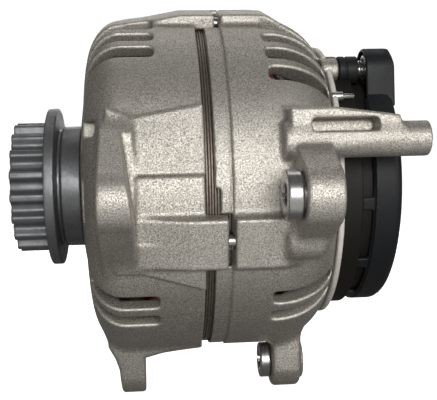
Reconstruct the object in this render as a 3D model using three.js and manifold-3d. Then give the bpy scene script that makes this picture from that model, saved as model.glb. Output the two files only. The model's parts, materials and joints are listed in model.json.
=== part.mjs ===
// A compact car alternator with a toothed overrunning drive coupler, as an assembly of separate pieces.
// Millimetres. +X runs along the shaft from the drive end to the rear, +Z is up, and the side
// mounting ears point along -Y. The origin is the centre of the coupler's drive-end face.
import * as THREE from 'three';
import { mergeVertices } from 'three/addons/utils/BufferGeometryUtils.js';
import Module from 'manifold-3d';

const wasm = await Module();
wasm.setup();

// ---- driving dimensions ---------------------------------------------------------------------
const GAP = 0.3; // left between neighbours that touch on the real object
const BODY_R = 70.2; // both castings
const STATOR_R = 68;
const STATOR_BORE = 52;
const ROTOR_R = 51.2;
const SHAFT_R = 8.5;
const FRONT_X = 28.8; // drive-end face of the front casting
const FRONT_RIM_X = 75.7; // where the front casting ends and the laminations show
const REAR_RIM_X = 79.3; // where the rear casting starts
const REAR_FACE_X = 126.9;
const CORE_FROM = 62;
const CORE_TO = 94;
const BOLT_R = 69; // pitch radius of the through bolts
const BOLT_ANGLES = [-18, 72, 162, 252];
const BOLT_FROM = 68; // blind end of the bolts, in the front casting
const BOLT_HEAD_X = 96.4; // where their heads rest on the rear casting
const BOLT_HEAD_R = 3.7;
const PAD_R = 73.6; // outer radius of the bolt pads
const PAD_WIDTH = 19.5;
const PAD_TO = 83.7;
const SIDE_EAR = { y: -85, z: -5, radius: 11.2 };
const LOWER_EAR = { y: 0, z: -79.5, radius: 11.5 };
const POST = { y: -70, z: 14, radius: 6.4, tip: 156.7 };
const TERMINAL = { y: -32, z: 44 };
const TERMINAL_BOSS_X = 132.8; // end of the casting's boss behind the terminal
const TEETH = 18;
const SLOT_PITCH = 9; // degrees between cooling slots
const SLOT_WIDTH = 6.4;
const ROUND = 30; // facets round a part of medium size
const CASTING = 36; // facets round the outside of the castings
const HOLLOW = 20; // facets round their inside
const HOLLOW_R = 64.8;
const SMALL = 12; // facets round a small part

const FRONT_BEARING = { from: 31.6, to: 45.6, outer: 23.3, inner: SHAFT_R + GAP };
const REAR_BEARING = { from: 115.6, to: 125.6, outer: 17.5, inner: SHAFT_R + GAP };

// ---- shape helpers --------------------------------------------------------------------------
const radians = (degrees) => (degrees * Math.PI) / 180;

// A closed geometry as a solid, whichever way round its faces were wound.
function toSolid(geometry) {
  const bare = geometry.index ? geometry.toNonIndexed() : geometry.clone();
  bare.deleteAttribute('normal');
  bare.deleteAttribute('uv');
  const merged = mergeVertices(bare, 1e-4);
  const corner = (i) => new THREE.Vector3().fromBufferAttribute(merged.attributes.position, i);
  const triangles = [];
  let volume = 0;
  for (let i = 0; i < merged.index.count; i += 3) {
    const [a, b, c] = [0, 1, 2].map((k) => merged.index.getX(i + k));
    if (a === b || b === c || c === a) continue;
    triangles.push([a, b, c]);
    volume += corner(a).dot(corner(b).cross(corner(c)));
  }
  const outward = triangles.map(([a, b, c]) => (volume < 0 ? [a, c, b] : [a, b, c]));
  return new wasm.Manifold(new wasm.Mesh({
    numProp: 3,
    vertProperties: new Float32Array(merged.attributes.position.array),
    triVerts: new Uint32Array(outward.flat()),
  }));
}

function toGeometry(solid) {
  const { vertProperties, triVerts } = solid.getMesh();
  const geometry = new THREE.BufferGeometry();
  geometry.setAttribute('position', new THREE.BufferAttribute(vertProperties, 3));
  geometry.setIndex([...triVerts]);
  return geometry;
}

// Booleans on geometries.
const combine = (first, others, step) => toGeometry(others.map(toSolid).reduce(step, toSolid(first)));
const join = (first, ...others) => combine(first, others, (sum, one) => sum.add(one));
const cut = (first, ...tools) => combine(first, tools, (rest, tool) => rest.subtract(tool));
const common = (first, ...others) => combine(first, others, (rest, one) => rest.intersect(one));

// A solid of revolution about the shaft axis, from [x, radius] points that close on themselves.
function turned(outline, segments = ROUND) {
  const points = [...outline, outline[0]].map(([x, radius]) => new THREE.Vector2(radius, x));
  const lathe = new THREE.LatheGeometry(points, segments);
  return lathe.rotateZ(-Math.PI / 2);
}

// A turned ring or disc between two places on the shaft axis.
function ring(from, to, outer, inner = 0, segments = ROUND) {
  return turned([[from, inner], [to, inner], [to, outer], [from, outer]], segments);
}

// The same, on an axis parallel to the shaft.
function rod(from, to, radius, y, z, segments = SMALL) {
  return ring(from, to, radius, 0, segments).translate(0, y, z);
}

function box(low, high) {
  const size = high.map((value, i) => value - low[i]);
  const middle = high.map((value, i) => (value + low[i]) / 2);
  return new THREE.BoxGeometry(...size).translate(...middle);
}

const PLANES = {
  yz: [new THREE.Vector3(0, 1, 0), new THREE.Vector3(0, 0, 1), new THREE.Vector3(1, 0, 0)],
  zx: [new THREE.Vector3(0, 0, 1), new THREE.Vector3(1, 0, 0), new THREE.Vector3(0, 1, 0)],
  xy: [new THREE.Vector3(1, 0, 0), new THREE.Vector3(0, 1, 0), new THREE.Vector3(0, 0, 1)],
};

// An outline in one plane, extruded along the third axis; holes are outlines too.
function plate(plane, outline, from, to, holes = []) {
  const shape = new THREE.Shape(outline.map(([a, b]) => new THREE.Vector2(a, b)));
  shape.holes = holes.map((hole) => new THREE.Path(hole.map(([a, b]) => new THREE.Vector2(a, b))));
  const geometry = new THREE.ExtrudeGeometry(shape, { depth: to - from, bevelEnabled: false });
  geometry.translate(0, 0, from);
  return geometry.applyMatrix4(new THREE.Matrix4().makeBasis(...PLANES[plane]));
}

// Points on an arc, in degrees.
function arc(centre, radius, from, to, steps) {
  return Array.from({ length: steps + 1 }, (_, i) => {
    const angle = radians(from + ((to - from) * i) / steps);
    return [centre[0] + radius * Math.cos(angle), centre[1] + radius * Math.sin(angle)];
  });
}

// Angles round the shaft are in degrees, from the side that faces -Y, upwards.
const around = (shape, angle) => shape.rotateX(-radians(angle));
const place = (angle, radius) => [-radius * Math.cos(radians(angle)), radius * Math.sin(radians(angle))];

// A block that stands out radially at an angle, width measured across.
function spoke(angle, from, to, inner, outer, width) {
  return around(box([from, -outer, -width / 2], [to, -inner, width / 2]), angle);
}

function hexagon(from, to, acrossFlats, y, z) {
  return rod(from, to, acrossFlats / Math.sqrt(3), y, z, 6);
}

// ---- scene graph ----------------------------------------------------------------------------
const group = new THREE.Group();

const MATERIALS = {
  casting: { color: 0xa59e92, roughness: 0.62, metalness: 0.75 },
  machined: { color: 0xb9b7b0, roughness: 0.35, metalness: 0.9 },
  steel: { color: 0x8e8e8a, roughness: 0.35, metalness: 0.9 },
  coupler: { color: 0x7d827a, roughness: 0.5, metalness: 0.7 },
  lamination: { color: 0x5b544b, roughness: 0.55, metalness: 0.6 },
  copper: { color: 0x8f4a2c, roughness: 0.4, metalness: 0.7 },
  plastic: { color: 0x1c1d1f, roughness: 0.45, metalness: 0 },
  phenolic: { color: 0x2a2320, roughness: 0.55, metalness: 0 },
  cream: { color: 0xcfcabd, roughness: 0.5, metalness: 0.4 },
  carbon: { color: 0x2d2b2a, roughness: 0.8, metalness: 0.1 },
};

function piece(name, geometry, material) {
  const closed = toGeometry(toSolid(geometry));
  const mesh = new THREE.Mesh(closed, new THREE.MeshStandardMaterial(MATERIALS[material]));
  mesh.name = name;
  group.add(mesh);
}

// ---- castings -------------------------------------------------------------------------------
// The front shoulder is a quarter ellipse from the flat face to the full radius.
function frontOutline() {
  const centre = [46, 49];
  const shoulder = arc([0, 0], 1, 180, 90, 3)
    .map(([a, b]) => [centre[0] + 14.6 * a, centre[1] + (BODY_R - centre[1]) * b]);
  return [[FRONT_X, 0], [FRONT_X, 31.4], ...shoulder];
}

// The rear shoulder is part of a wider quarter ellipse, down to the flat rear face.
function rearOutline() {
  const centre = [103.5, 45];
  return arc([0, 0], 1, 90, 33, 3)
    .map(([a, b]) => [centre[0] + 26 * a, centre[1] + (BODY_R - centre[1]) * b]);
}

// The pad over each bolt, from its side profile of [x, distance from the shaft] points.
function boltPad(angle, profile) {
  const side = plate('xy', profile.map(([x, out]) => [x, -out]), -PAD_WIDTH / 2, PAD_WIDTH / 2);
  return around(side, angle);
}

// Ear seen along the shaft: a nose round the bore, spreading to a wide root on the casting.
function earOutline(ear, rootHalfWidth, rootDepth) {
  const nose = arc([0, 0], ear.radius, 75, -75, 6);
  return [[-rootDepth, rootHalfWidth], ...nose, [-rootDepth, -rootHalfWidth]];
}

// The ear outline turned so that its nose points outwards from the shaft.
function ear(spec, from, to, rootHalfWidth, rootDepth) {
  const angle = Math.atan2(spec.z, spec.y);
  const outline = earOutline(spec, rootHalfWidth, rootDepth).map(([a, b]) => [
    spec.y + a * Math.cos(angle) - b * Math.sin(angle),
    spec.z + a * Math.sin(angle) + b * Math.cos(angle),
  ]);
  return plate('yz', outline, from, to);
}

// The slots above the shaft count upwards from one angle and those below it downwards from another.
function slotAngles(firstAbove, firstBelow, blocked) {
  const above = Array.from({ length: 15 }, (_, i) => firstAbove + i * SLOT_PITCH);
  const below = Array.from({ length: 15 }, (_, i) => firstBelow - i * SLOT_PITCH);
  return [...above, ...below].filter((angle) =>
    blocked.every(([centre, half]) => Math.abs(((angle - centre + 900) % 360) - 180) > half));
}

function frontHousing() {
  const skin = turned([...frontOutline(), [FRONT_RIM_X, BODY_R], [FRONT_RIM_X, 0]], CASTING);
  const padProfile = [[47, 55], [47, 69.4], [52, 70.4], [70, PAD_R], [PAD_TO, PAD_R], [PAD_TO, 55]];
  const pads = BOLT_ANGLES.map((angle) => boltPad(angle, padProfile));
  const sideEar = ear(SIDE_EAR, 38.5, 50.5, 29, 24);
  const footWidth = plate('yz', [
    [-18, -56], ...arc([LOWER_EAR.y, LOWER_EAR.z], LOWER_EAR.radius, 190, 350, 6), [18, -56],
  ], 36, 53);
  const footSide = plate('zx', [
    [-56, 36.8], [-68.5, 36.8], [-74, 39.6], [-79, 41.1], [-91.5, 42.1], [-91.5, 52.2], [-56, 52.2],
  ], -20, 20);
  const foot = common(footWidth, footSide);
  const topRib = plate('zx', [
    [66, 60], [70, 60], [75.2, 74], [75.2, 93], [72.8, 93], [72.8, 74.5], [66, 74.5],
  ], -3, 9);
  const cavity = turned([
    [47, 0], [47, 29.6], [35.5, 32], [35.5, 50], [44, HOLLOW_R], [90, HOLLOW_R], [90, 0],
  ], HOLLOW);
  const register = ring(CORE_FROM - GAP, 90, STATOR_R + GAP, 0, CASTING);
  const bearingSeat = ring(FRONT_BEARING.from - GAP, 48, FRONT_BEARING.outer + GAP, 0, RACE);
  const shaftHole = ring(FRONT_X - 1, 40, 13.5, 0, 20);
  const inlets = Array.from({ length: 8 }, (_, i) => {
    const window = plate('yz', [
      ...arc([0, 0], 48.5, -15, 15, 1), ...arc([0, 0], 34, 13, -13, 1),
    ], FRONT_X - 2, 37);
    return window.rotateX(radians(45 * i + 10));
  });
  const slots = slotAngles(45.5, -39.5, [[72, 8], [162, 10], [252, 10], [270, 36]])
    .map((angle) => spoke(angle, 25, 58.5, 54, 76, SLOT_WIDTH));
  const bolts = BOLT_ANGLES.map((angle) => around(rod(BOLT_FROM - 2, 90, 2.8, -BOLT_R, 0, 8), angle));
  const screws = [0, 120, 240].map((angle) => around(rod(36, 50, 1.8, -26.4, 0, 8), angle));
  const bores = [SIDE_EAR, LOWER_EAR].map((spec) => rod(30, 60, 4.3, spec.y, spec.z));
  const trough = rod(51, 86, 9.6, -80.5, -4, 20);
  const pocket = plate('zx', [[6, 44.8], [23, 44.8], [23, 51], [6, 51]], -100, -75.5);
  return cut(
    join(skin, ...pads, sideEar, foot, topRib),
    cavity, register, bearingSeat, shaftHole, ...inlets, ...slots, ...bolts, ...screws, ...bores, trough, pocket,
  );
}

function rearHousing() {
  const skin = turned([
    [REAR_RIM_X, 0], [REAR_RIM_X, 69.6], [85.3, 69.6], [85.3, BODY_R], ...rearOutline(),
    [REAR_FACE_X, 55.2], [REAR_FACE_X, 0],
  ], CASTING);
  const padProfile = [[86, 55], [86, PAD_R], [99, PAD_R], [108, 71.2], [112, 67.5], [112, 55]];
  const pads = BOLT_ANGLES.map((angle) => boltPad(angle, padProfile));
  const sideEar = ear(SIDE_EAR, 107.5, 120.4, 24, 24);
  const lowerEar = join(
    ear(LOWER_EAR, 107, 119.4, 14, 22),
    rod(119, 121, 8.4, LOWER_EAR.y, LOWER_EAR.z, 16),
  );
  const lobe = rod(104.5, 119, 8, -67, -20.5, 14);
  const post = rod(104, POST.tip, POST.radius, POST.y, POST.z, 16);
  const web = plate('zx', [
    [POST.z - 4, 106], [25.6, 106], [25.6, 122], [22.5, 145.4], [POST.z, 148], [POST.z - 4, 118],
  ], -75.2, -63.8);
  const webPocket = box([113.6, -80, 16.9], [137.8, -67, 21.7]);
  const terminalBoss = rod(112, TERMINAL_BOSS_X, 4.8, TERMINAL.y, TERMINAL.z, 12);
  const cavity = turned([
    [70, 0], [70, HOLLOW_R], [105, HOLLOW_R], [117, 58], [122.2, 46], [122.2, 26], [113.5, 26], [113.5, 0],
  ], HOLLOW);
  const register = ring(70, CORE_TO + GAP, STATOR_R + GAP, 0, CASTING);
  const bearingSeat = ring(110, REAR_BEARING.to + GAP, REAR_BEARING.outer + 2 + GAP, 0, RACE);
  const shaftHole = ring(110, 130, 12, 0, 20);
  const windows = [20, 65, 110, 155, 200, 290, 335].map((angle) => {
    const window = plate('yz', [
      ...arc([0, 0], 46, -15, 15, 1), ...arc([0, 0], 31, 13, -13, 1),
    ], 118, 130);
    return window.rotateX(radians(angle));
  });
  const slots = slotAngles(35, -39.3, [[72, 9], [162, 10], [252, 10], [270, 36]])
    .map((angle) => spoke(angle, 101.5, 124, 50, 76, SLOT_WIDTH));
  const bolts = BOLT_ANGLES.map((angle) => around(join(
    rod(80, BOLT_HEAD_X, 2.8, -BOLT_R, 0, 8), rod(BOLT_HEAD_X - GAP, 125, BOLT_HEAD_R + GAP, -BOLT_R, 0),
  ), angle));
  const bushings = [
    rod(95, 125, 7.3, SIDE_EAR.y, SIDE_EAR.z, 16), rod(95, 125, 6.3, LOWER_EAR.y, LOWER_EAR.z, 16),
  ];
  const postBore = rod(140, 160, 4, POST.y, POST.z, 12);
  const boltTunnels = BOLT_ANGLES.map((angle) => spoke(angle, REAR_RIM_X - 1, 86, 64, 75, PAD_WIDTH + 0.8));
  const trough = rod(84, 101, 9.6, -80.5, -5, 20);
  return cut(
    join(skin, ...pads, sideEar, lowerEar, lobe, post, web, terminalBoss),
    cavity, register, bearingSeat, shaftHole, ...windows, ...slots, ...bolts, ...bushings, postBore, ...boltTunnels,
    trough, webPocket,
  );
}

// ---- stator ---------------------------------------------------------------------------------
const STATOR_SLOTS = 24;

function statorCore() {
  const bore = Array.from({ length: STATOR_SLOTS }, (_, i) => {
    const middle = (360 * i) / STATOR_SLOTS;
    return [
      ...arc([0, 0], STATOR_BORE, middle - 5, middle - 2.4, 1),
      ...arc([0, 0], 60, middle - 2.2, middle + 2.2, 1),
      ...arc([0, 0], STATOR_BORE, middle + 2.4, middle + 5, 1),
    ];
  }).flat();
  const stack = plate('yz', arc([0, 0], STATOR_R, 0, 351, CASTING - 1), CORE_FROM, CORE_TO, [bore.reverse()]);
  return cut(stack, ...BOLT_ANGLES.map((angle) => around(rod(50, 100, 3.2, -BOLT_R, 0), angle)));
}

function statorWinding() {
  const crown = (from, to) => turned([
    [from, 53.6], [to, 53.6], [to, 60], [to - 2, 62.4], [from + 2, 62.4], [from, 60],
  ], 24);
  const bars = Array.from({ length: STATOR_SLOTS }, (_, i) =>
    spoke((360 * i) / STATOR_SLOTS, CORE_FROM - 3, CORE_TO + 3, 54.5, 59.2, 3));
  return join(crown(49, CORE_FROM - GAP), crown(CORE_TO + GAP, 107), ...bars);
}

function throughBolt(angle) {
  const headTo = BOLT_HEAD_X + 4.6;
  const shank = rod(BOLT_FROM, BOLT_HEAD_X + 1, 2.4, -BOLT_R, 0, 10);
  const socket = hexagon(headTo - 2.4, headTo + 1, 4, -BOLT_R, 0);
  const head = cut(rod(BOLT_HEAD_X, headTo, BOLT_HEAD_R, -BOLT_R, 0), socket);
  return around(join(shank, head), angle);
}

// ---- bearings -------------------------------------------------------------------------------
const BALLS = 7;
const RACE = 20; // facets round a race

function bearing(spec) {
  const middle = (spec.from + spec.to) / 2;
  const pitch = (spec.outer + spec.inner) / 2;
  const ball = (spec.outer - spec.inner) * 0.26;
  const wall = (spec.outer - spec.inner) * 0.24;
  const groove = arc([middle, pitch], ball + 0.5, 50, 130, 2);
  const hollow = arc([middle, pitch], ball + 0.5, -130, -50, 2);
  const outerFace = spec.outer - wall;
  const innerFace = spec.inner + wall;
  const outerRace = turned([
    [spec.from, spec.outer], [spec.to, spec.outer], [spec.to, outerFace],
    ...groove.filter(([, radius]) => radius > outerFace), [spec.from, outerFace],
  ], RACE);
  const innerRace = turned([
    [spec.from, spec.inner], [spec.from, innerFace],
    ...hollow.filter(([, radius]) => radius < innerFace), [spec.to, innerFace], [spec.to, spec.inner],
  ], RACE);
  const cage = ring(middle - 2.2, middle + 2.2, pitch + 0.8, pitch - 0.8, 14);
  const balls = Array.from({ length: BALLS }, (_, i) =>
    around(new THREE.SphereGeometry(ball, 7, 4).translate(middle, -pitch, 0), (360 / BALLS) * i));
  return { outerRace, innerRace, ballSet: join(cage, ...balls) };
}

// ---- rotor ----------------------------------------------------------------------------------
const POLES = 6;
const CLAW_FROM = 55;
const CLAW_TO = 101;

// One half of the claw-pole rotor: a thick disc with tapering fingers that reach over the coil.
function clawPole(discFrom, discTo, fingerTo, phase) {
  const direction = Math.sign(fingerTo - discFrom);
  const disc = ring(Math.min(discFrom, discTo), Math.max(discFrom, discTo), 33, SHAFT_R + GAP, 24);
  const fingers = Array.from({ length: POLES }, (_, i) => {
    const side = plate('xy', [
      [discFrom, -32], [discTo, -32], [discTo + direction * 0.5, -41], [fingerTo, -47],
      [fingerTo, -ROTOR_R - 3], [discFrom, -ROTOR_R - 3],
    ], -16, 16);
    const top = plate('zx', [
      [-13, discFrom - direction], [-13, discTo], [-5, fingerTo + direction],
      [5, fingerTo + direction], [13, discTo], [13, discFrom - direction],
    ], -60, -25);
    return around(common(side, top), phase + (360 / POLES) * i);
  });
  const envelope = ring(CLAW_FROM - 2, CLAW_TO + 2, ROTOR_R, 0, 48);
  return common(join(disc, ...fingers), envelope);
}

function fan(plateFrom, bladeTo) {
  const thickness = 1.6;
  const direction = Math.sign(bladeTo - plateFrom);
  const plateTo = plateFrom + direction * thickness;
  const disc = ring(Math.min(plateFrom, plateTo), Math.max(plateFrom, plateTo), 44, SHAFT_R + GAP, 24);
  const blades = Array.from({ length: 9 }, (_, i) => {
    const lean = i % 2 ? 24 : 30;
    const blade = box([Math.min(plateFrom, bladeTo), -8, -0.8], [Math.max(plateFrom, bladeTo), 8, 0.8]);
    return around(blade.rotateX(radians(lean)).translate(0, -40, 0), 40 * i + (i % 3) * 2);
  });
  return join(disc, ...blades);
}

function shaft() {
  return turned([
    [2.5, 0], [2.5, 7], [3.5, SHAFT_R], [149, SHAFT_R], [150, 7.5], [150, 0],
  ], 24);
}

// ---- overrunning drive coupler --------------------------------------------------------------
const COUPLER_BORE = 18.6;

function couplerRing() {
  const rootR = 24.2;
  const blank = turned([
    [0, COUPLER_BORE], [0, rootR], [14.1, rootR], [14.1, 33.6], [18.4, 33.6],
    [18.4, 24], [20, 24], [20, 25.8], [28.1, 25.8], [28.1, COUPLER_BORE],
  ], 36);
  const teeth = Array.from({ length: TEETH }, (_, i) => {
    const tooth = plate('yz', [
      [-22, -2.9], [-rootR - 0.6, -2.6], [-27.2, -1.7], [-27.6, -1.2],
      [-27.6, 1.2], [-27.2, 1.7], [-rootR - 0.6, 2.6], [-22, 2.9],
    ], 0, 14.1);
    return around(tooth, 10.5 + (360 / TEETH) * i);
  });
  return join(blank, ...teeth);
}

function couplerEndCap() {
  return turned([[0, 0], [0, 18.2], [3.6, 18.2], [3.6, 15.6], [1.8, 15.6], [1.8, 0]], 20);
}

function couplerInnerHub() {
  return turned([
    [4, SHAFT_R + GAP], [4, 13], [24.4, 13], [24.4, 15.4], [28.1, 15.4], [28.1, SHAFT_R + GAP],
  ], 24);
}

function clutchRollerCage() {
  const middle = (13 + COUPLER_BORE) / 2;
  const cage = ring(6.4, 24, middle + 1, middle - 1, 20);
  const rollers = Array.from({ length: 8 }, (_, i) => around(rod(8, 22.4, 2.3, -middle, 0, 8), 45 * i));
  return join(cage, ...rollers);
}

// ---- rectifier, regulator and rear cover ----------------------------------------------------
const PLATE_FROM = REAR_FACE_X + GAP;
const PLATE_TO = PLATE_FROM + 2;
const FRAME_TO = 137.2;
const CAP_FROM = 142.5;
const CAP_TO = 153.6;
const NEGATIVE_DIODES = [40, 100, 320];
const POSITIVE_DIODES = [70, 130, 350];
const CAP_STUDS = [15, 215];
const HOOD_FOOT = 28.6; // lowest edge of the hood over the terminal

function sector(inner, outer, from, to, start, end) {
  const span = end - start;
  return plate('yz', [
    ...arc([0, 0], outer, start, end, Math.ceil(span / 7.5)),
    ...arc([0, 0], inner, end, start, Math.ceil(span / 12)),
  ], from, to);
}

function negativePlate() {
  const full = ring(PLATE_FROM, PLATE_TO, 58, 24);
  const bossNotch = rod(120, 132, 5.9, TERMINAL.y, TERMINAL.z, 16);
  const regulatorNotch = box([120, 12, -17], [132, 60, 17]);
  return cut(full, bossNotch, regulatorNotch);
}

function positivePlate() {
  const body = sector(24, 49, 133.6, 136, 45, 330);
  const regulatorRoom = box([130, 10, -19], [140, 60, 19]);
  const studHole = rod(130, 140, 5.9, TERMINAL.y, TERMINAL.z, 16);
  return cut(body, regulatorRoom, studHole);
}

function diode(angle, from) {
  const [y, z] = place(angle, 40);
  const cup = turned([[0, 0], [0, 6], [0.6, 6.4], [2.8, 6.4], [3.3, 5.6], [3.3, 0]], SMALL);
  const lead = ring(3, 3.6, 1.2, 0, 6);
  return join(cup, lead).translate(from, y, z);
}

function rectifierFrame() {
  const wall = ring(PLATE_TO + GAP, FRAME_TO, 54, 51.4);
  const ribs = Array.from({ length: 9 }, (_, i) => spoke(40 * i + 8, PLATE_TO + GAP, FRAME_TO, 49.8, 52, 2));
  const terminalRoom = rod(125, 145, 6.1, TERMINAL.y, TERMINAL.z, 20);
  const plugRoom = box([130.7, 20, -16], [140, 60, 16]);
  return cut(join(wall, ...ribs), terminalRoom, plugRoom);
}

function rearCap() {
  const shell = turned([
    [CAP_FROM, 53], [150, 53], [152.6, 51.8], [CAP_TO, 49], [CAP_TO, 16], [151.6, 16],
    [151.6, 48], [148, 50.4], [FRAME_TO + GAP, 50.4], [FRAME_TO + GAP, 52], [CAP_FROM, 52],
  ]);
  const skirtVents = Array.from({ length: 12 }, (_, i) =>
    spoke(30 * i + 4, FRAME_TO - 1, 141.8, 48, 54, 22));
  const faceVents = Array.from({ length: 10 }, (_, i) => spoke(36 * i + 9, 150, 155, 24, 44, 4));
  const hoodRoom = box([CAP_FROM - 6, TERMINAL.y - 8.9, HOOD_FOOT - GAP], [CAP_TO + 2, TERMINAL.y + 8.9, 70]);
  const plugRoom = box([FRAME_TO - 1, 30, -15.3], [CAP_TO - 5, 60, 15.3]);
  const studs = CAP_STUDS.map((angle) => {
    const [y, z] = place(angle, 30);
    return rod(148, 156, 2.9, y, z, 12);
  });
  return cut(shell, ...skirtVents, ...faceVents, hoodRoom, plugRoom, ...studs);
}

function rearCapNut(angle) {
  const [y, z] = place(angle, 30);
  const stud = rod(136.6, 157, 2.4, y, z, 12);
  return join(stud, hexagon(CAP_TO + GAP, 156.4, 8, y, z));
}

// The two brushes stand side by side over the two slip rings.
const BRUSH_X = [134.2, 143.6];
const RING_R = 8.9;

function regulator() {
  const body = box([130, 13, -14.6], [147.6, 36, 14.6]);
  const holder = box([129.8, 11.6, -7], [148.4, 33, 7]);
  const socket = cut(box([131, 34, -12], [146, 55, 12]), box([133, 39, -10], [144, 57, 10]));
  const tunnels = BRUSH_X.map((x) => box([x - 2.8, 9, -3.3], [x + 2.8, 32, 3.3]));
  return cut(join(body, holder, socket), ...tunnels);
}

function brush(x) {
  const block = box([x - 2.4, RING_R + 1.6, -2.9], [x + 2.4, 24, 2.9]);
  return cut(block, rod(x - 5, x + 5, RING_R + 1.6, 0, 0, 48));
}

// A brush spring drawn as a square-section helix is too fine for this model, so it is its outer tube.
function brushSpring(x) {
  const outer = new THREE.CylinderGeometry(2.1, 2.1, 7.2, SMALL);
  const inner = new THREE.CylinderGeometry(1.3, 1.3, 9, SMALL);
  return cut(outer, inner).translate(x, 24.3 + 3.6, 0);
}

function slipRing(x) {
  return ring(x - 3.4, x + 3.4, RING_R + 1.2, SHAFT_R + GAP, 24);
}

function slipRingInsulator() {
  const middle = (BRUSH_X[0] + BRUSH_X[1]) / 2;
  return ring(middle - 1, middle + 1, RING_R + 1.9, SHAFT_R + GAP, 24);
}

// ---- B+ terminal ----------------------------------------------------------------------------
function terminalHood() {
  const outline = (radius, foot) => [
    [TERMINAL.y - radius, foot], ...arc([TERMINAL.y, TERMINAL.z], radius, 180, 0, 12), [TERMINAL.y + radius, foot],
  ];
  const shell = plate('yz', outline(8.6, HOOD_FOOT), CAP_FROM + 0.4, 154.6);
  const room = plate('yz', outline(7.2, HOOD_FOOT + 1.6), CAP_FROM - 1, 153.2);
  const round = turned([[140, 0], [140, 63.2], [151.5, 63.2], [153.8, 62], [154.8, 60], [154.8, 0]]);
  return cut(common(shell, round), room);
}

function terminalInsulator() {
  const sleeve = rod(TERMINAL_BOSS_X + GAP, 140.6, 5.6, TERMINAL.y, TERMINAL.z, 24);
  return cut(sleeve, rod(120, 150, 4.2, TERMINAL.y, TERMINAL.z, 16));
}

// ---- mounting bushings ----------------------------------------------------------------------
// Pressed steel sleeves in the rear ears, slit along their length.
function bushing(spec, from, to, collarR, sleeveR, boreR) {
  const collar = rod(from, 107 - GAP, collarR, spec.y, spec.z, 20);
  const sleeve = join(rod(106, to, sleeveR, spec.y, spec.z, 16), collar);
  const slit = box([from - 1, spec.y, spec.z - 0.4], [to + 1, spec.y + 20, spec.z + 0.4]);
  return cut(sleeve, rod(from - 1, to + 1, boreR, spec.y, spec.z, 16), slit);
}

// ---- assembly -------------------------------------------------------------------------------
piece('front_housing', frontHousing(), 'casting');
piece('rear_housing', rearHousing(), 'casting');
piece('stator_core', statorCore(), 'lamination');
piece('stator_winding', statorWinding(), 'copper');
BOLT_ANGLES.forEach((angle, i) => piece(`through_bolt_${i + 1}`, throughBolt(angle), 'steel'));

const front = bearing(FRONT_BEARING);
piece('front_bearing_outer_race', front.outerRace, 'steel');
piece('front_bearing_inner_race', front.innerRace, 'steel');
piece('front_bearing_balls', front.ballSet, 'steel');
const rear = bearing(REAR_BEARING);
piece('rear_bearing_outer_race', rear.outerRace, 'steel');
piece('rear_bearing_inner_race', rear.innerRace, 'steel');
piece('rear_bearing_balls', rear.ballSet, 'steel');
piece('rear_bearing_sleeve', ring(REAR_BEARING.from, REAR_BEARING.to, 19.4, 17.8, RACE), 'phenolic');

const retainerHoles = [0, 120, 240].map((angle) => around(rod(40, 55, 1.9, -26.4, 0, 8), angle));
piece('bearing_retainer_plate', cut(ring(47.4, 49, 29, 18, 24), ...retainerHoles), 'steel');
[0, 120, 240].forEach((angle, i) => {
  const screw = join(rod(38, 49.4, 1.5, -26.4, 0, 8), rod(49.3, 51, 3, -26.4, 0, 12));
  piece(`retainer_screw_${i + 1}`, around(screw, angle), 'steel');
});

piece('shaft', shaft(), 'steel');
piece('claw_pole_front', clawPole(CLAW_FROM, CLAW_FROM + 9, CLAW_TO - 3, 0), 'lamination');
piece('claw_pole_rear', clawPole(CLAW_TO, CLAW_TO - 9, CLAW_FROM + 3, 180 / POLES), 'lamination');
piece('field_coil', ring(CLAW_FROM + 9.6, CLAW_TO - 9.6, 38, SHAFT_R + GAP, 24), 'copper');
piece('front_fan', fan(54.6, 51.6), 'steel');
piece('rear_fan', fan(101.4, 110), 'steel');
piece('front_spacer', ring(45.9, 52.6, 12, SHAFT_R + GAP, 24), 'steel');
BRUSH_X.forEach((x, i) => piece(`slip_ring_${i + 1}`, slipRing(x), 'copper'));
piece('slip_ring_insulator', slipRingInsulator(), 'phenolic');

piece('coupler_outer_ring', couplerRing(), 'coupler');
piece('coupler_end_cap', couplerEndCap(), 'plastic');
piece('coupler_inner_hub', couplerInnerHub(), 'steel');
piece('clutch_roller_cage', clutchRollerCage(), 'steel');

piece('rectifier_negative_plate', negativePlate(), 'cream');
piece('rectifier_positive_plate', positivePlate(), 'machined');
NEGATIVE_DIODES.forEach((angle, i) => piece(`negative_diode_${i + 1}`, diode(angle, PLATE_TO + GAP), 'steel'));
POSITIVE_DIODES.forEach((angle, i) => piece(`positive_diode_${i + 1}`, diode(angle, 136.3), 'steel'));
piece('rectifier_frame', rectifierFrame(), 'phenolic');
piece('regulator_body', regulator(), 'plastic');
[1, -1].forEach((side, i) => {
  piece(`regulator_screw_${i + 1}`, rod(147.9, 150.4, 3, 26, side * 11, 12), 'steel');
});
piece('rear_cap', rearCap(), 'plastic');
CAP_STUDS.forEach((angle, i) => piece(`rear_cap_nut_${i + 1}`, rearCapNut(angle), 'steel'));

piece('b_plus_stud', rod(TERMINAL_BOSS_X + GAP, 152.6, 3.8, TERMINAL.y, TERMINAL.z, 16), 'steel');
const terminalNut = cut(
  hexagon(143.6, 149.6, 11, TERMINAL.y, TERMINAL.z), rod(140, 152, 4.1, TERMINAL.y, TERMINAL.z),
);
piece('b_plus_nut', terminalNut, 'steel');
piece('b_plus_insulator', terminalInsulator(), 'plastic');
piece('b_plus_hood', terminalHood(), 'plastic');

piece('side_ear_bushing', bushing(SIDE_EAR, 101.5, 119.6, 8.75, 6.9, 4), 'steel');
piece('lower_ear_bushing', bushing(LOWER_EAR, 102.3, 118.6, 7.6, 5.9, 3.9), 'steel');

['a', 'b'].forEach((letter, i) => {
  piece(`brush_${letter}`, brush(BRUSH_X[i]), 'carbon');
  piece(`brush_spring_${letter}`, brushSpring(BRUSH_X[i]), 'steel');
});

export default group;
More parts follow.
